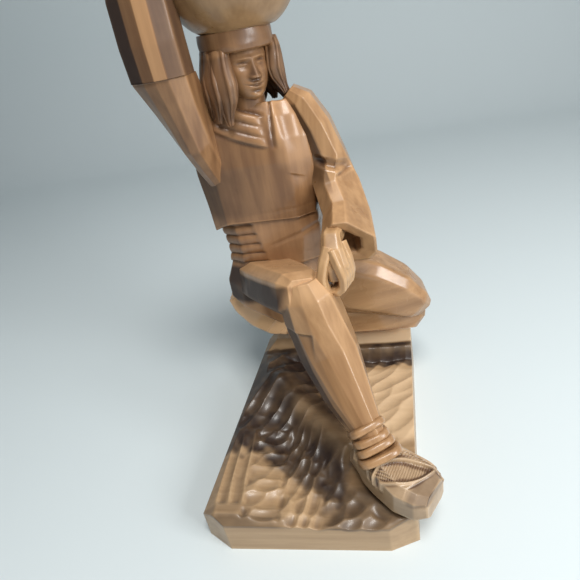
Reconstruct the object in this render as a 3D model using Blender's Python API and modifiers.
"""Carved wooden figurine: a seated figure with a jar on its head, on a block carved as rock.

The carving is glued up from separately carved blocks of one pale hardwood, each pinned
to the next with a round dowel.  Every block is a named object.  Lengths below are in
millimetres and MM turns them into metres.  X runs to the figure's left, Y away from the
viewer and Z up, with the origin at the middle of the base's underside.
"""

import math

import bmesh
import bpy
from mathutils import Matrix, Vector

MM = 0.001

# Driving sizes of the whole piece
BASE_FRONT = 100.0
BASE_DEPTH = 138.0
BASE_FRONT_Y = -66.0
BASE_BACK_Y = 72.0
BASE_COLUMNS = 26
BASE_ROWS = 34
BASE_BACK_LEFT = -33.0
BASE_BACK_RIGHT = 60.0
BASE_FLARE = 0.07
LEDGE_TOP = 31.0
LEDGE_EDGE = 26.5
LEDGE_FLAT = 59.0
LEDGE_FRONT = 48.0
LEDGE_RISER = 7.0
GROUND = 17.0
RIDGE_HEIGHT = 8.0
RIDGE_WIDTH = 12.0
ROCK_HEIGHT = 7.0
HOLLOW_DEPTH = 2.5
HOLLOW_CENTRE = (-12.0, -22.0)
HOLLOW_WIDTH = 14.0
SOLE_LEVEL = 18.5
RIDGE_HIGH = (-16.0, 18.0)
RIDGE_LOW = (28.0, -36.0)
SHOE_HEEL = (30.0, -39.0)
SHOE_TOE = (56.0, -60.0)
SOLE_CLEAR = 11.0
SOLE_BLEND = 20.0
FRONT_CHAMFER = 14.5
LEFT_CHAMFER = 15.5
SEAM = 0.3
DOWEL_LARGE = 3.0
DOWEL_SMALL = 1.6
DOWEL_SIDES = 14
DOWEL_CHAMFER = 0.4

# Figure: heights and centres that the blocks share
NECK_SEAM = 180.0
CROWN = 209.6
ELBOW_SEAM = 199.0
ANKLE = (34.5, -43.0, 43.0)
JAR_CENTRE = (-6.0, 37.0)
JAR_FACETS = 28
SEAT_SLOPE = -0.86

HONEY = (0.47, 0.245, 0.095, 1.0)
HONEY_PALE = (0.56, 0.33, 0.15, 1.0)
ROCK_BROWN = (0.33, 0.19, 0.09, 1.0)
DOWEL_BEECH = (0.62, 0.45, 0.27, 1.0)


def clear_scene():
    """Removes whatever the file opened with."""
    for old in list(bpy.data.objects):
        bpy.data.objects.remove(old, do_unlink=True)


def collection(name):
    """A collection under the scene's own."""
    made = bpy.data.collections.new(name)
    bpy.context.scene.collection.children.link(made)
    return made


clear_scene()
FIGURINE = collection("seated_figurine")
CUTTERS = collection("cutters")


def wood(name, colour, roughness):
    """Varnished wood as a plain Principled material."""
    material = bpy.data.materials.new(name)
    material.use_nodes = True
    shader = material.node_tree.nodes["Principled BSDF"]
    shader.inputs["Base Color"].default_value = colour
    shader.inputs["Roughness"].default_value = roughness
    shader.inputs["Metallic"].default_value = 0.0
    material.diffuse_color = colour
    return material


def finished_mesh(name, body):
    """A mesh in metres from a body in millimetres, in flat triangles that all face out."""
    bmesh.ops.triangulate(body, faces=body.faces[:])
    bmesh.ops.recalc_face_normals(body, faces=body.faces[:])
    bmesh.ops.scale(body, vec=Vector((MM, MM, MM)), verts=body.verts[:])
    mesh = bpy.data.meshes.new(name)
    body.to_mesh(mesh)
    body.free()
    return mesh


def add_object(name, body, colour, roughness):
    """A named object in the figurine's collection."""
    mesh = finished_mesh(name, body)
    mesh.materials.append(wood(name + "_wood", colour, roughness))
    made = bpy.data.objects.new(name, mesh)
    FIGURINE.objects.link(made)
    return made


def octagon(half_wide, half_deep, cut, turn):
    """Eight points of a chamfered rectangle, turned about its middle by some degrees."""
    inner_wide = half_wide * (1.0 - cut)
    inner_deep = half_deep * (1.0 - cut)
    corners = (
        (half_wide, -inner_deep),
        (half_wide, inner_deep),
        (inner_wide, half_deep),
        (-inner_wide, half_deep),
        (-half_wide, inner_deep),
        (-half_wide, -inner_deep),
        (-inner_wide, -half_deep),
        (inner_wide, -half_deep),
    )
    angle = math.radians(turn)
    cosine = math.cos(angle)
    sine = math.sin(angle)
    return [(u * cosine - v * sine, u * sine + v * cosine) for u, v in corners]


def limb(side, stations):
    """A carved limb: octagons lofted along a path.

    Each station is x, y, z, half width, half depth, corner cut and turn.  The width
    lies along the side vector as nearly as the path allows.
    """
    made = bmesh.new()
    centres = [Vector(station[:3]) for station in stations]
    rings = []
    for place, station in enumerate(stations):
        ahead = centres[min(place + 1, len(centres) - 1)]
        behind = centres[max(place - 1, 0)]
        along = (ahead - behind).normalized()
        across = (Vector(side) - along * Vector(side).dot(along)).normalized()
        deep = along.cross(across)
        outline = octagon(*station[3:7])
        rings.append([made.verts.new(centres[place] + across * u + deep * v) for u, v in outline])
    for lower, upper in zip(rings, rings[1:]):
        for index in range(8):
            following = (index + 1) % 8
            made.faces.new((lower[index], lower[following], upper[following], upper[index]))
    made.faces.new(rings[0][::-1])
    made.faces.new(rings[-1])
    return made


def slice_off(body, point, outward):
    """One flat saw cut: removes what lies beyond the plane and closes the face."""
    geometry = body.verts[:] + body.edges[:] + body.faces[:]
    cut = bmesh.ops.bisect_plane(
        body,
        geom=geometry,
        dist=1e-5,
        plane_co=Vector(point),
        plane_no=Vector(outward),
        clear_outer=True,
    )
    rim = [item for item in cut["geom_cut"] if isinstance(item, bmesh.types.BMEdge)]
    if rim:
        bmesh.ops.edgeloop_fill(body, edges=rim)
    return body


def cutter(name, body):
    """A hidden tool for a Boolean."""
    made = bpy.data.objects.new(name, finished_mesh(name, body))
    made.hide_render = True
    made.display_type = "WIRE"
    CUTTERS.objects.link(made)
    return made


def boolean(piece, tool, operation):
    """An exact Boolean left on the piece."""
    step = piece.modifiers.new(operation.lower() + "_" + tool.name, "BOOLEAN")
    step.operation = operation
    step.solver = "EXACT"
    step.object = tool


def yield_to(piece, neighbour):
    """Cuts the neighbour's shape, grown by the seam, out of the piece so that they meet."""
    grown = bpy.data.objects.new(neighbour.name + "_grown_for_" + piece.name, neighbour.data)
    grown.location = neighbour.location
    grown.hide_render = True
    grown.display_type = "WIRE"
    CUTTERS.objects.link(grown)
    swell = grown.modifiers.new("seam", "DISPLACE")
    swell.mid_level = 0.0
    swell.strength = SEAM * MM
    boolean(piece, grown, "DIFFERENCE")


def peg(start, end, radius, sides=DOWEL_SIDES):
    """A round rod between two points."""
    start = Vector(start)
    end = Vector(end)
    along = end - start
    turn = along.to_track_quat("Z", "Y").to_matrix().to_4x4()
    made = bmesh.new()
    bmesh.ops.create_cone(
        made,
        cap_ends=True,
        segments=sides,
        radius1=radius,
        radius2=radius,
        depth=along.length,
        matrix=Matrix.Translation((start + end) / 2.0) @ turn,
    )
    return made


def dowel(name, start, end, radius, pieces):
    """A dowel and the blind holes for it in the two pieces that it pins."""
    along = (Vector(end) - Vector(start)).normalized()
    hole_start = Vector(start) - along * SEAM
    hole_end = Vector(end) + along * SEAM
    tool = cutter(name + "_hole", peg(hole_start, hole_end, radius + SEAM))
    for piece in pieces:
        boolean(piece, tool, "DIFFERENCE")
    made = add_object(name, peg(start, end, radius), DOWEL_BEECH, 0.6)
    soften = made.modifiers.new("chamfered_ends", "BEVEL")
    soften.width = DOWEL_CHAMFER * MM
    soften.segments = 1
    soften.limit_method = "ANGLE"
    soften.angle_limit = math.radians(60.0)
    return made


# Base block: sawn sides, a carved top with a ledge behind, a ridge of rock and low ground

def smooth_step(low, high, value):
    """Zero below low, one above high, with an even slope between."""
    share = min(max((value - low) / (high - low), 0.0), 1.0)
    return share * share * (3.0 - 2.0 * share)


def smooth_step_down(low, high, value):
    """One below low and zero above high."""
    return 1.0 - smooth_step(low, high, value)


def offset_from_line(x, y, start, end):
    """Distance in plan from a line with two ends."""
    start = Vector(start)
    along = Vector(end) - start
    share = (Vector((x, y)) - start).dot(along) / along.length_squared
    share = min(max(share, 0.0), 1.0)
    return (Vector((x, y)) - start - along * share).length


def ground_height(x, y):
    """Height of the carved top at a place in plan."""
    ridge = offset_from_line(x, y, RIDGE_HIGH, RIDGE_LOW)
    sole = offset_from_line(x, y, SHOE_HEEL, SHOE_TOE)
    height = GROUND + 4.0 * smooth_step_down(-40.0, 20.0, x) + 2.0 * smooth_step(-60.0, 0.0, y)
    height += RIDGE_HEIGHT * math.exp(-((ridge / RIDGE_WIDTH) ** 2))
    height += ROCK_HEIGHT * smooth_step(-5.0, 25.0, y) * smooth_step_down(-30.0, 0.0, x)
    hollow = math.hypot(x - HOLLOW_CENTRE[0], y - HOLLOW_CENTRE[1]) / HOLLOW_WIDTH
    height -= HOLLOW_DEPTH * math.exp(-(hollow ** 2))
    height += (SOLE_LEVEL - height) * smooth_step_down(SOLE_CLEAR, SOLE_BLEND, sole)
    ledge = LEDGE_EDGE + (LEDGE_TOP - LEDGE_EDGE) * smooth_step(LEDGE_FRONT, LEDGE_FLAT, y)
    return height + (ledge - height) * smooth_step(LEDGE_FRONT - LEDGE_RISER, LEDGE_FRONT, y)


def carved_base():
    """The block: a grid bent to the plan outline, raised to the ground and dropped to a flat foot."""
    made = bmesh.new()
    grid = bmesh.ops.create_grid(made, x_segments=BASE_COLUMNS, y_segments=BASE_ROWS, size=1.0)
    for vertex in grid["verts"]:
        across = (vertex.co.x + 1.0) / 2.0
        back = (vertex.co.y + 1.0) / 2.0
        left = -BASE_FRONT / 2.0 + (BASE_BACK_LEFT + BASE_FRONT / 2.0) * back
        right = BASE_FRONT / 2.0 + (BASE_BACK_RIGHT - BASE_FRONT / 2.0) * back
        x = left + (right - left) * across
        y = BASE_FRONT_Y + BASE_DEPTH * back
        vertex.co = (x, y, ground_height(x, y))
    top = made.faces[:]
    wall = bmesh.ops.extrude_face_region(made, geom=top)
    for item in wall["geom"]:
        if isinstance(item, bmesh.types.BMVert):
            item.co.x *= 1.0 + BASE_FLARE * item.co.z / BASE_FRONT
            item.co.z = 0.0
    underside = [face for face in made.faces if face.calc_center_median().z < 1e-6]
    bmesh.ops.delete(made, geom=underside, context="FACES")
    rim = [edge for edge in made.edges if edge.is_boundary]
    bmesh.ops.edgeloop_fill(made, edges=rim)
    slice_off(made, (-37.0, BASE_FRONT_Y, 0.0), (-8.0, -13.0, 0.0))
    slice_off(made, (38.0, BASE_FRONT_Y, 0.0), (5.0, -12.0, 0.0))
    slice_off(made, (54.0, BASE_BACK_Y, 0.0), (1.0, 1.0, 0.0))
    slice_off(made, (-27.0, BASE_BACK_Y, 0.0), (-1.0, 1.0, 0.0))
    slice_off(made, (0.0, BASE_FRONT_Y, FRONT_CHAMFER), (0.0, -0.62, 0.78))
    slice_off(made, (-BASE_FRONT / 2.0, BASE_FRONT_Y, LEFT_CHAMFER), (-0.55, 0.0, 0.83))
    return made


base_block = add_object("base_block", carved_base(), ROCK_BROWN, 0.45)

# Torso: hips, wrapped sash and belted tunic in one block, carved square under the chin

torso_body = limb(
    (1.0, 0.0, 0.0),
    (
        (-14.0, 50.0, 59.0, 22.0, 14.0, 0.30, 0.0),
        (-15.5, 49.0, 74.0, 26.0, 16.5, 0.32, 0.0),
        (-15.0, 47.0, 88.0, 25.5, 17.5, 0.34, 0.0),
        (-12.0, 45.0, 97.0, 23.8, 17.0, 0.36, 0.0),
        (-10.5, 43.5, 108.0, 22.8, 16.0, 0.36, 0.0),
        (-9.0, 42.5, 119.5, 24.0, 15.5, 0.36, 0.0),
        (-11.0, 42.0, 121.0, 27.0, 17.0, 0.34, 0.0),
        (-10.5, 41.0, 140.0, 28.5, 17.5, 0.36, 0.0),
        (-10.5, 40.0, 156.0, 29.0, 17.5, 0.38, 0.0),
        (-9.5, 39.5, 168.0, 27.0, 16.0, 0.40, 0.0),
        (-8.0, 39.5, 176.5, 22.5, 13.0, 0.42, 0.0),
        (-8.0, 40.0, NECK_SEAM + 2.0, 13.0, 9.0, 0.42, 0.0),
    ),
)
slice_off(torso_body, (-8.0, 40.0, NECK_SEAM - SEAM / 2.0), (0.0, 0.0, 1.0))
slice_off(torso_body, (-33.0, 50.0, 73.0), (SEAT_SLOPE * 0.76, 0.0, -0.76))
torso = add_object("torso", torso_body, HONEY, 0.32)

# Head with its band, hair and neck

head_body = limb(
    (1.0, 0.0, 0.0),
    (
        (-8.0, 38.0, NECK_SEAM - 3.0, 10.0, 9.5, 0.38, 0.0),
        (-8.5, 37.0, 183.0, 14.5, 12.0, 0.38, 20.0),
        (-8.5, 36.0, 188.0, 16.0, 15.0, 0.38, 30.0),
        (-8.2, 36.0, 196.0, 16.5, 16.5, 0.40, 35.0),
        (-7.8, 36.5, 204.0, 16.3, 16.5, 0.40, 35.0),
        (-7.3, 37.0, CROWN + 4.0, 13.0, 13.0, 0.40, 35.0),
    ),
)
slice_off(head_body, (-8.0, 38.0, NECK_SEAM + SEAM / 2.0), (0.0, 0.0, -1.0))
slice_off(head_body, (-8.0, 38.0, CROWN), (0.0, 0.0, 1.0))
head = add_object("head", head_body, HONEY, 0.34)

# Jar: turned to a round belly with a flat foot, a short neck and a shallow dished mouth

JAR_PROFILE = (
    (0.0, 56.0),
    (10.0, 56.5),
    (12.5, 59.5),
    (16.0, 59.0),
    (15.5, 57.0),
    (12.5, 53.0),
    (13.5, 49.0),
    (19.0, 45.0),
    (26.0, 38.0),
    (29.5, 30.0),
    (30.2, 22.0),
    (28.5, 14.0),
    (24.2, 6.5),
    (19.0, 1.6),
    (14.5, 0.0),
    (0.0, 0.0),
)


def turned(name, profile, centre, colour, roughness):
    """A lathe-turned piece: its half outline, outer side top to bottom, swept by Screw."""
    outline = bpy.data.meshes.new(name + "_outline")
    points = [(radius * MM, 0.0, height * MM) for radius, height in profile]
    edges = [(index, index + 1) for index in range(len(points) - 1)]
    outline.from_pydata(points, edges, [])
    spun = bpy.data.objects.new(name + "_outline", outline)
    spun.location = Vector(centre) * MM
    CUTTERS.objects.link(spun)
    sweep = spun.modifiers.new("turning", "SCREW")
    sweep.steps = JAR_FACETS
    sweep.render_steps = JAR_FACETS
    sweep.use_merge_vertices = True
    sweep.merge_threshold = 0.00001
    bpy.context.view_layer.update()
    depsgraph = bpy.context.evaluated_depsgraph_get()
    mesh = bpy.data.meshes.new_from_object(spun.evaluated_get(depsgraph))
    mesh.name = name
    mesh.materials.append(wood(name + "_wood", colour, roughness))
    mesh.shade_smooth()
    mesh.set_sharp_from_angle(angle=math.radians(40.0))
    made = bpy.data.objects.new(name, mesh)
    made.location = spun.location
    FIGURINE.objects.link(made)
    bpy.data.objects.remove(spun, do_unlink=True)
    return made


jar_foot = (JAR_CENTRE[0], JAR_CENTRE[1], CROWN + SEAM)
jar = turned("jar", JAR_PROFILE, jar_foot, HONEY_PALE, 0.28)

# Raised arm: an upper sleeve that spreads down the tunic's side, and a forearm with a hand on the jar

upper_sleeve_body = limb(
    (1.0, 0.0, 0.0),
    (
        (-29.5, 34.0, 148.0, 6.5, 9.0, 0.35, 0.0),
        (-31.5, 31.0, 160.0, 8.0, 13.0, 0.35, 0.0),
        (-33.2, 25.5, 173.0, 9.2, 15.0, 0.36, 0.0),
        (-35.2, 19.5, 187.0, 10.8, 12.5, 0.36, 0.0),
        (-37.4, 14.0, ELBOW_SEAM + 2.0, 12.8, 10.5, 0.36, 0.0),
    ),
)
slice_off(upper_sleeve_body, (-38.0, 14.0, ELBOW_SEAM - SEAM / 2.0), (0.0, 0.0, 1.0))
raised_upper_arm = add_object("raised_upper_arm", upper_sleeve_body, HONEY, 0.32)
yield_to(raised_upper_arm, torso)

forearm_body = limb(
    (1.0, 0.0, 0.0),
    (
        (-37.5, 14.0, ELBOW_SEAM - 2.0, 12.8, 10.6, 0.36, 0.0),
        (-37.5, 13.5, 212.0, 12.9, 10.5, 0.36, 0.0),
        (-37.4, 13.8, 228.0, 12.6, 10.0, 0.36, 0.0),
        (-36.5, 16.0, 240.0, 10.0, 9.0, 0.36, 0.0),
        (-33.5, 19.5, 248.5, 6.5, 7.0, 0.36, 0.0),
        (-29.0, 23.0, 254.0, 6.0, 8.5, 0.34, 0.0),
        (-22.5, 26.5, 258.5, 4.8, 9.0, 0.34, 0.0),
        (-17.0, 29.0, 261.0, 3.4, 8.0, 0.34, 0.0),
    ),
)
slice_off(forearm_body, (-38.0, 14.0, ELBOW_SEAM + SEAM / 2.0), (0.0, 0.0, -1.0))
raised_forearm = add_object("raised_forearm", forearm_body, HONEY, 0.32)
yield_to(raised_forearm, jar)

# Lowered arm: a wide sleeve with an open cuff, and a hand plugged into it

left_sleeve_body = limb(
    (1.0, 0.0, 0.0),
    (
        (9.5, 40.0, 182.0, 4.5, 6.0, 0.40, 0.0),
        (14.0, 40.0, 177.0, 7.5, 10.0, 0.38, 0.0),
        (19.5, 39.0, 166.0, 8.5, 11.5, 0.36, 0.0),
        (24.5, 38.0, 150.0, 9.0, 12.0, 0.36, 0.0),
        (28.8, 33.0, 137.0, 9.8, 13.0, 0.34, 0.0),
        (31.2, 22.0, 125.0, 11.2, 14.0, 0.32, 0.0),
        (31.5, 7.0, 118.5, 12.2, 13.5, 0.30, 0.0),
    ),
)
left_sleeve = add_object("left_sleeve", left_sleeve_body, HONEY, 0.32)
yield_to(left_sleeve, torso)

cuff_hollow = cutter(
    "cuff_hollow",
    limb(
        (1.0, 0.0, 0.0),
        (
            (29.5, 23.0, 127.0, 5.2, 6.0, 0.30, 0.0),
            (27.5, 9.0, 124.0, 8.0, 8.5, 0.30, 0.0),
            (26.0, -5.0, 121.0, 9.0, 10.0, 0.30, 0.0),
        ),
    ),
)
boolean(left_sleeve, cuff_hollow, "DIFFERENCE")

left_hand_body = limb(
    (1.0, 0.0, 0.0),
    (
        (29.0, 20.0, 126.0, 3.6, 4.2, 0.34, 0.0),
        (27.8, 8.0, 125.5, 4.6, 5.0, 0.34, 0.0),
        (25.8, -2.0, 124.5, 6.6, 6.4, 0.34, 0.0),
        (24.5, -6.0, 117.0, 8.4, 6.6, 0.34, 0.0),
        (25.0, -6.5, 109.0, 8.4, 6.4, 0.34, 0.0),
        (24.5, -5.0, 101.5, 5.4, 4.4, 0.34, 0.0),
    ),
)
left_hand = add_object("left_hand", left_hand_body, HONEY_PALE, 0.34)

# Bent leg: thigh and shin in one block, its ankle let into the shoe

thigh = limb(
    (1.0, 0.0, 0.0),
    (
        (-20.0, 40.0, 89.0, 15.0, 11.0, 0.36, 0.0),
        (-12.0, 24.0, 94.0, 14.5, 10.5, 0.36, 0.0),
        (0.0, 4.0, 100.0, 13.0, 10.5, 0.36, 0.0),
        (8.0, -10.0, 104.5, 11.0, 10.0, 0.36, 0.0),
        (10.5, -16.5, 107.0, 6.5, 7.0, 0.36, 0.0),
    ),
)
shin_body = limb(
    (1.0, 0.0, 0.0),
    (
        (8.5, -9.0, 111.0, 8.0, 8.0, 0.36, 0.0),
        (9.5, -10.0, 104.0, 12.5, 11.5, 0.36, 0.0),
        (12.0, -10.5, 90.0, 14.0, 15.0, 0.38, 0.0),
        (17.5, -17.0, 74.0, 14.0, 14.0, 0.38, 0.0),
        (24.0, -28.0, 60.0, 11.5, 11.0, 0.38, 0.0),
        (30.5, -37.5, 50.0, 8.2, 8.2, 0.38, 0.0),
        (ANKLE[0], ANKLE[1], ANKLE[2], 6.6, 6.6, 0.38, 0.0),
        (37.0, -46.5, 36.0, 5.6, 5.6, 0.38, 0.0),
    ),
)
right_leg = add_object("right_leg", thigh, HONEY, 0.32)
shin = cutter("shin", shin_body)
boolean(right_leg, shin, "UNION")
yield_to(right_leg, torso)
yield_to(left_hand, right_leg)
yield_to(left_hand, shin)

right_shoe_body = limb(
    (0.62, 0.78, 0.0),
    (
        (27.5, -36.5, 25.5, 5.5, 6.0, 0.40, 0.0),
        (32.0, -40.5, 30.5, 8.8, 12.0, 0.40, 0.0),
        (39.0, -46.5, 30.0, 10.2, 11.0, 0.38, 0.0),
        (47.5, -53.0, 28.5, 12.0, 8.8, 0.34, 0.0),
        (54.5, -57.5, 28.0, 11.0, 8.0, 0.36, 0.0),
        (58.5, -60.0, 28.0, 7.5, 6.2, 0.38, 0.0),
    ),
)
slice_off(right_shoe_body, (45.0, -54.0, SOLE_LEVEL + SEAM), (0.0, 0.0, -1.0))
right_shoe = add_object("right_shoe", right_shoe_body, HONEY_PALE, 0.4)
yield_to(right_shoe, shin)

# Folded leg: thigh and calf in one block that lies on the ledge, with the foot pinned to its end

folded_thigh = limb(
    (0.0, 1.0, 0.0),
    (
        (2.0, 46.0, 82.0, 13.5, 16.0, 0.36, 0.0),
        (22.0, 46.0, 80.0, 14.5, 17.5, 0.36, 0.0),
        (38.0, 46.5, 74.5, 14.0, 16.5, 0.36, 0.0),
        (52.0, 47.5, 67.0, 13.0, 13.5, 0.36, 0.0),
        (62.0, 49.0, 59.0, 11.0, 9.5, 0.36, 0.0),
        (67.0, 50.5, 54.5, 6.5, 5.5, 0.36, 0.0),
    ),
)
folded_calf = limb(
    (0.0, 1.0, 0.0),
    (
        (62.0, 52.0, 53.0, 7.0, 6.5, 0.36, 0.0),
        (54.0, 53.5, 49.0, 13.0, 12.5, 0.32, 0.0),
        (42.0, 55.5, 46.5, 16.5, 16.5, 0.26, 0.0),
        (22.0, 56.0, 46.0, 16.5, 17.5, 0.26, 0.0),
        (2.0, 56.5, 46.0, 14.5, 16.0, 0.28, 0.0),
        (-15.0, 57.0, 48.0, 11.0, 11.0, 0.36, 0.0),
    ),
)
slice_off(folded_calf, (0.0, 47.0, 40.2), (0.0, -0.562, -0.827))
slice_off(folded_calf, (20.0, 58.0, LEDGE_TOP + SEAM), (0.0, 0.0, -1.0))
left_leg = add_object("left_leg", folded_thigh, HONEY, 0.32)
calf = cutter("calf", folded_calf)
boolean(left_leg, calf, "UNION")
yield_to(left_leg, torso)

left_foot_body = limb(
    (0.0, 1.0, 0.0),
    (
        (-14.0, 57.0, 46.5, 9.5, 8.0, 0.36, 0.0),
        (-23.0, 55.0, 52.0, 12.0, 10.0, 0.36, 0.0),
        (-31.0, 53.0, 60.0, 12.5, 10.0, 0.36, 0.0),
        (-39.0, 52.0, 68.5, 11.0, 8.0, 0.36, 0.0),
        (-44.0, 51.5, 74.0, 7.5, 5.0, 0.36, 0.0),
    ),
)
left_foot = add_object("left_foot", left_foot_body, HONEY_PALE, 0.34)
yield_to(left_foot, torso)
yield_to(left_foot, left_leg)
yield_to(left_foot, calf)

# Dowels: each pins two neighbours and lies hidden inside them

DOWELS = (
    ("neck_dowel", (-8.5, 38.5, 168.0), (-8.5, 37.5, 192.0), DOWEL_LARGE, (torso, head)),
    ("jar_dowel", (-7.0, 37.0, 200.0), (-7.0, 37.0, 222.0), DOWEL_LARGE, (head, jar)),
    (
        "raised_shoulder_dowel", (-18.0, 36.0, 163.0), (-36.0, 26.0, 170.0),
        DOWEL_SMALL, (torso, raised_upper_arm),
    ),
    (
        "elbow_dowel", (-37.0, 15.0, 189.0), (-37.5, 14.0, 210.0),
        DOWEL_LARGE, (raised_upper_arm, raised_forearm),
    ),
    (
        "left_shoulder_dowel", (6.0, 40.0, 164.0), (24.0, 39.0, 161.0),
        DOWEL_SMALL, (torso, left_sleeve),
    ),
    (
        "wrist_dowel", (28.0, 10.0, 125.6), (30.5, 31.0, 129.0),
        DOWEL_SMALL, (left_hand, left_sleeve),
    ),
    ("right_hip_dowel", (-15.0, 44.0, 89.0), (-9.0, 20.0, 94.5), DOWEL_LARGE, (torso, right_leg)),
    ("ankle_dowel", (33.5, -41.5, 46.0), (40.0, -49.0, 28.0), DOWEL_SMALL, (right_leg, right_shoe)),
    ("shoe_dowel", (46.0, -52.5, 7.0), (46.0, -52.5, 28.0), DOWEL_SMALL, (base_block, right_shoe)),
    ("left_hip_dowel", (-4.0, 46.0, 82.0), (24.0, 46.0, 82.0), DOWEL_LARGE, (torso, left_leg)),
    ("seat_dowel", (-3.0, 55.0, 74.0), (-3.0, 56.0, 48.0), DOWEL_SMALL, (torso, left_leg)),
    ("foot_dowel", (-7.0, 57.0, 47.0), (-28.0, 55.5, 56.0), DOWEL_SMALL, (left_leg, left_foot)),
    (
        "ledge_dowel_outer", (42.0, 64.6, 16.0), (42.0, 64.6, 44.0),
        DOWEL_LARGE, (base_block, left_leg),
    ),
    (
        "ledge_dowel_inner", (8.0, 64.6, 16.0), (8.0, 64.6, 44.0),
        DOWEL_LARGE, (base_block, left_leg),
    ),
)
for dowel_name, dowel_start, dowel_end, dowel_radius, pinned in DOWELS:
    dowel(dowel_name, dowel_start, dowel_end, dowel_radius, pinned)
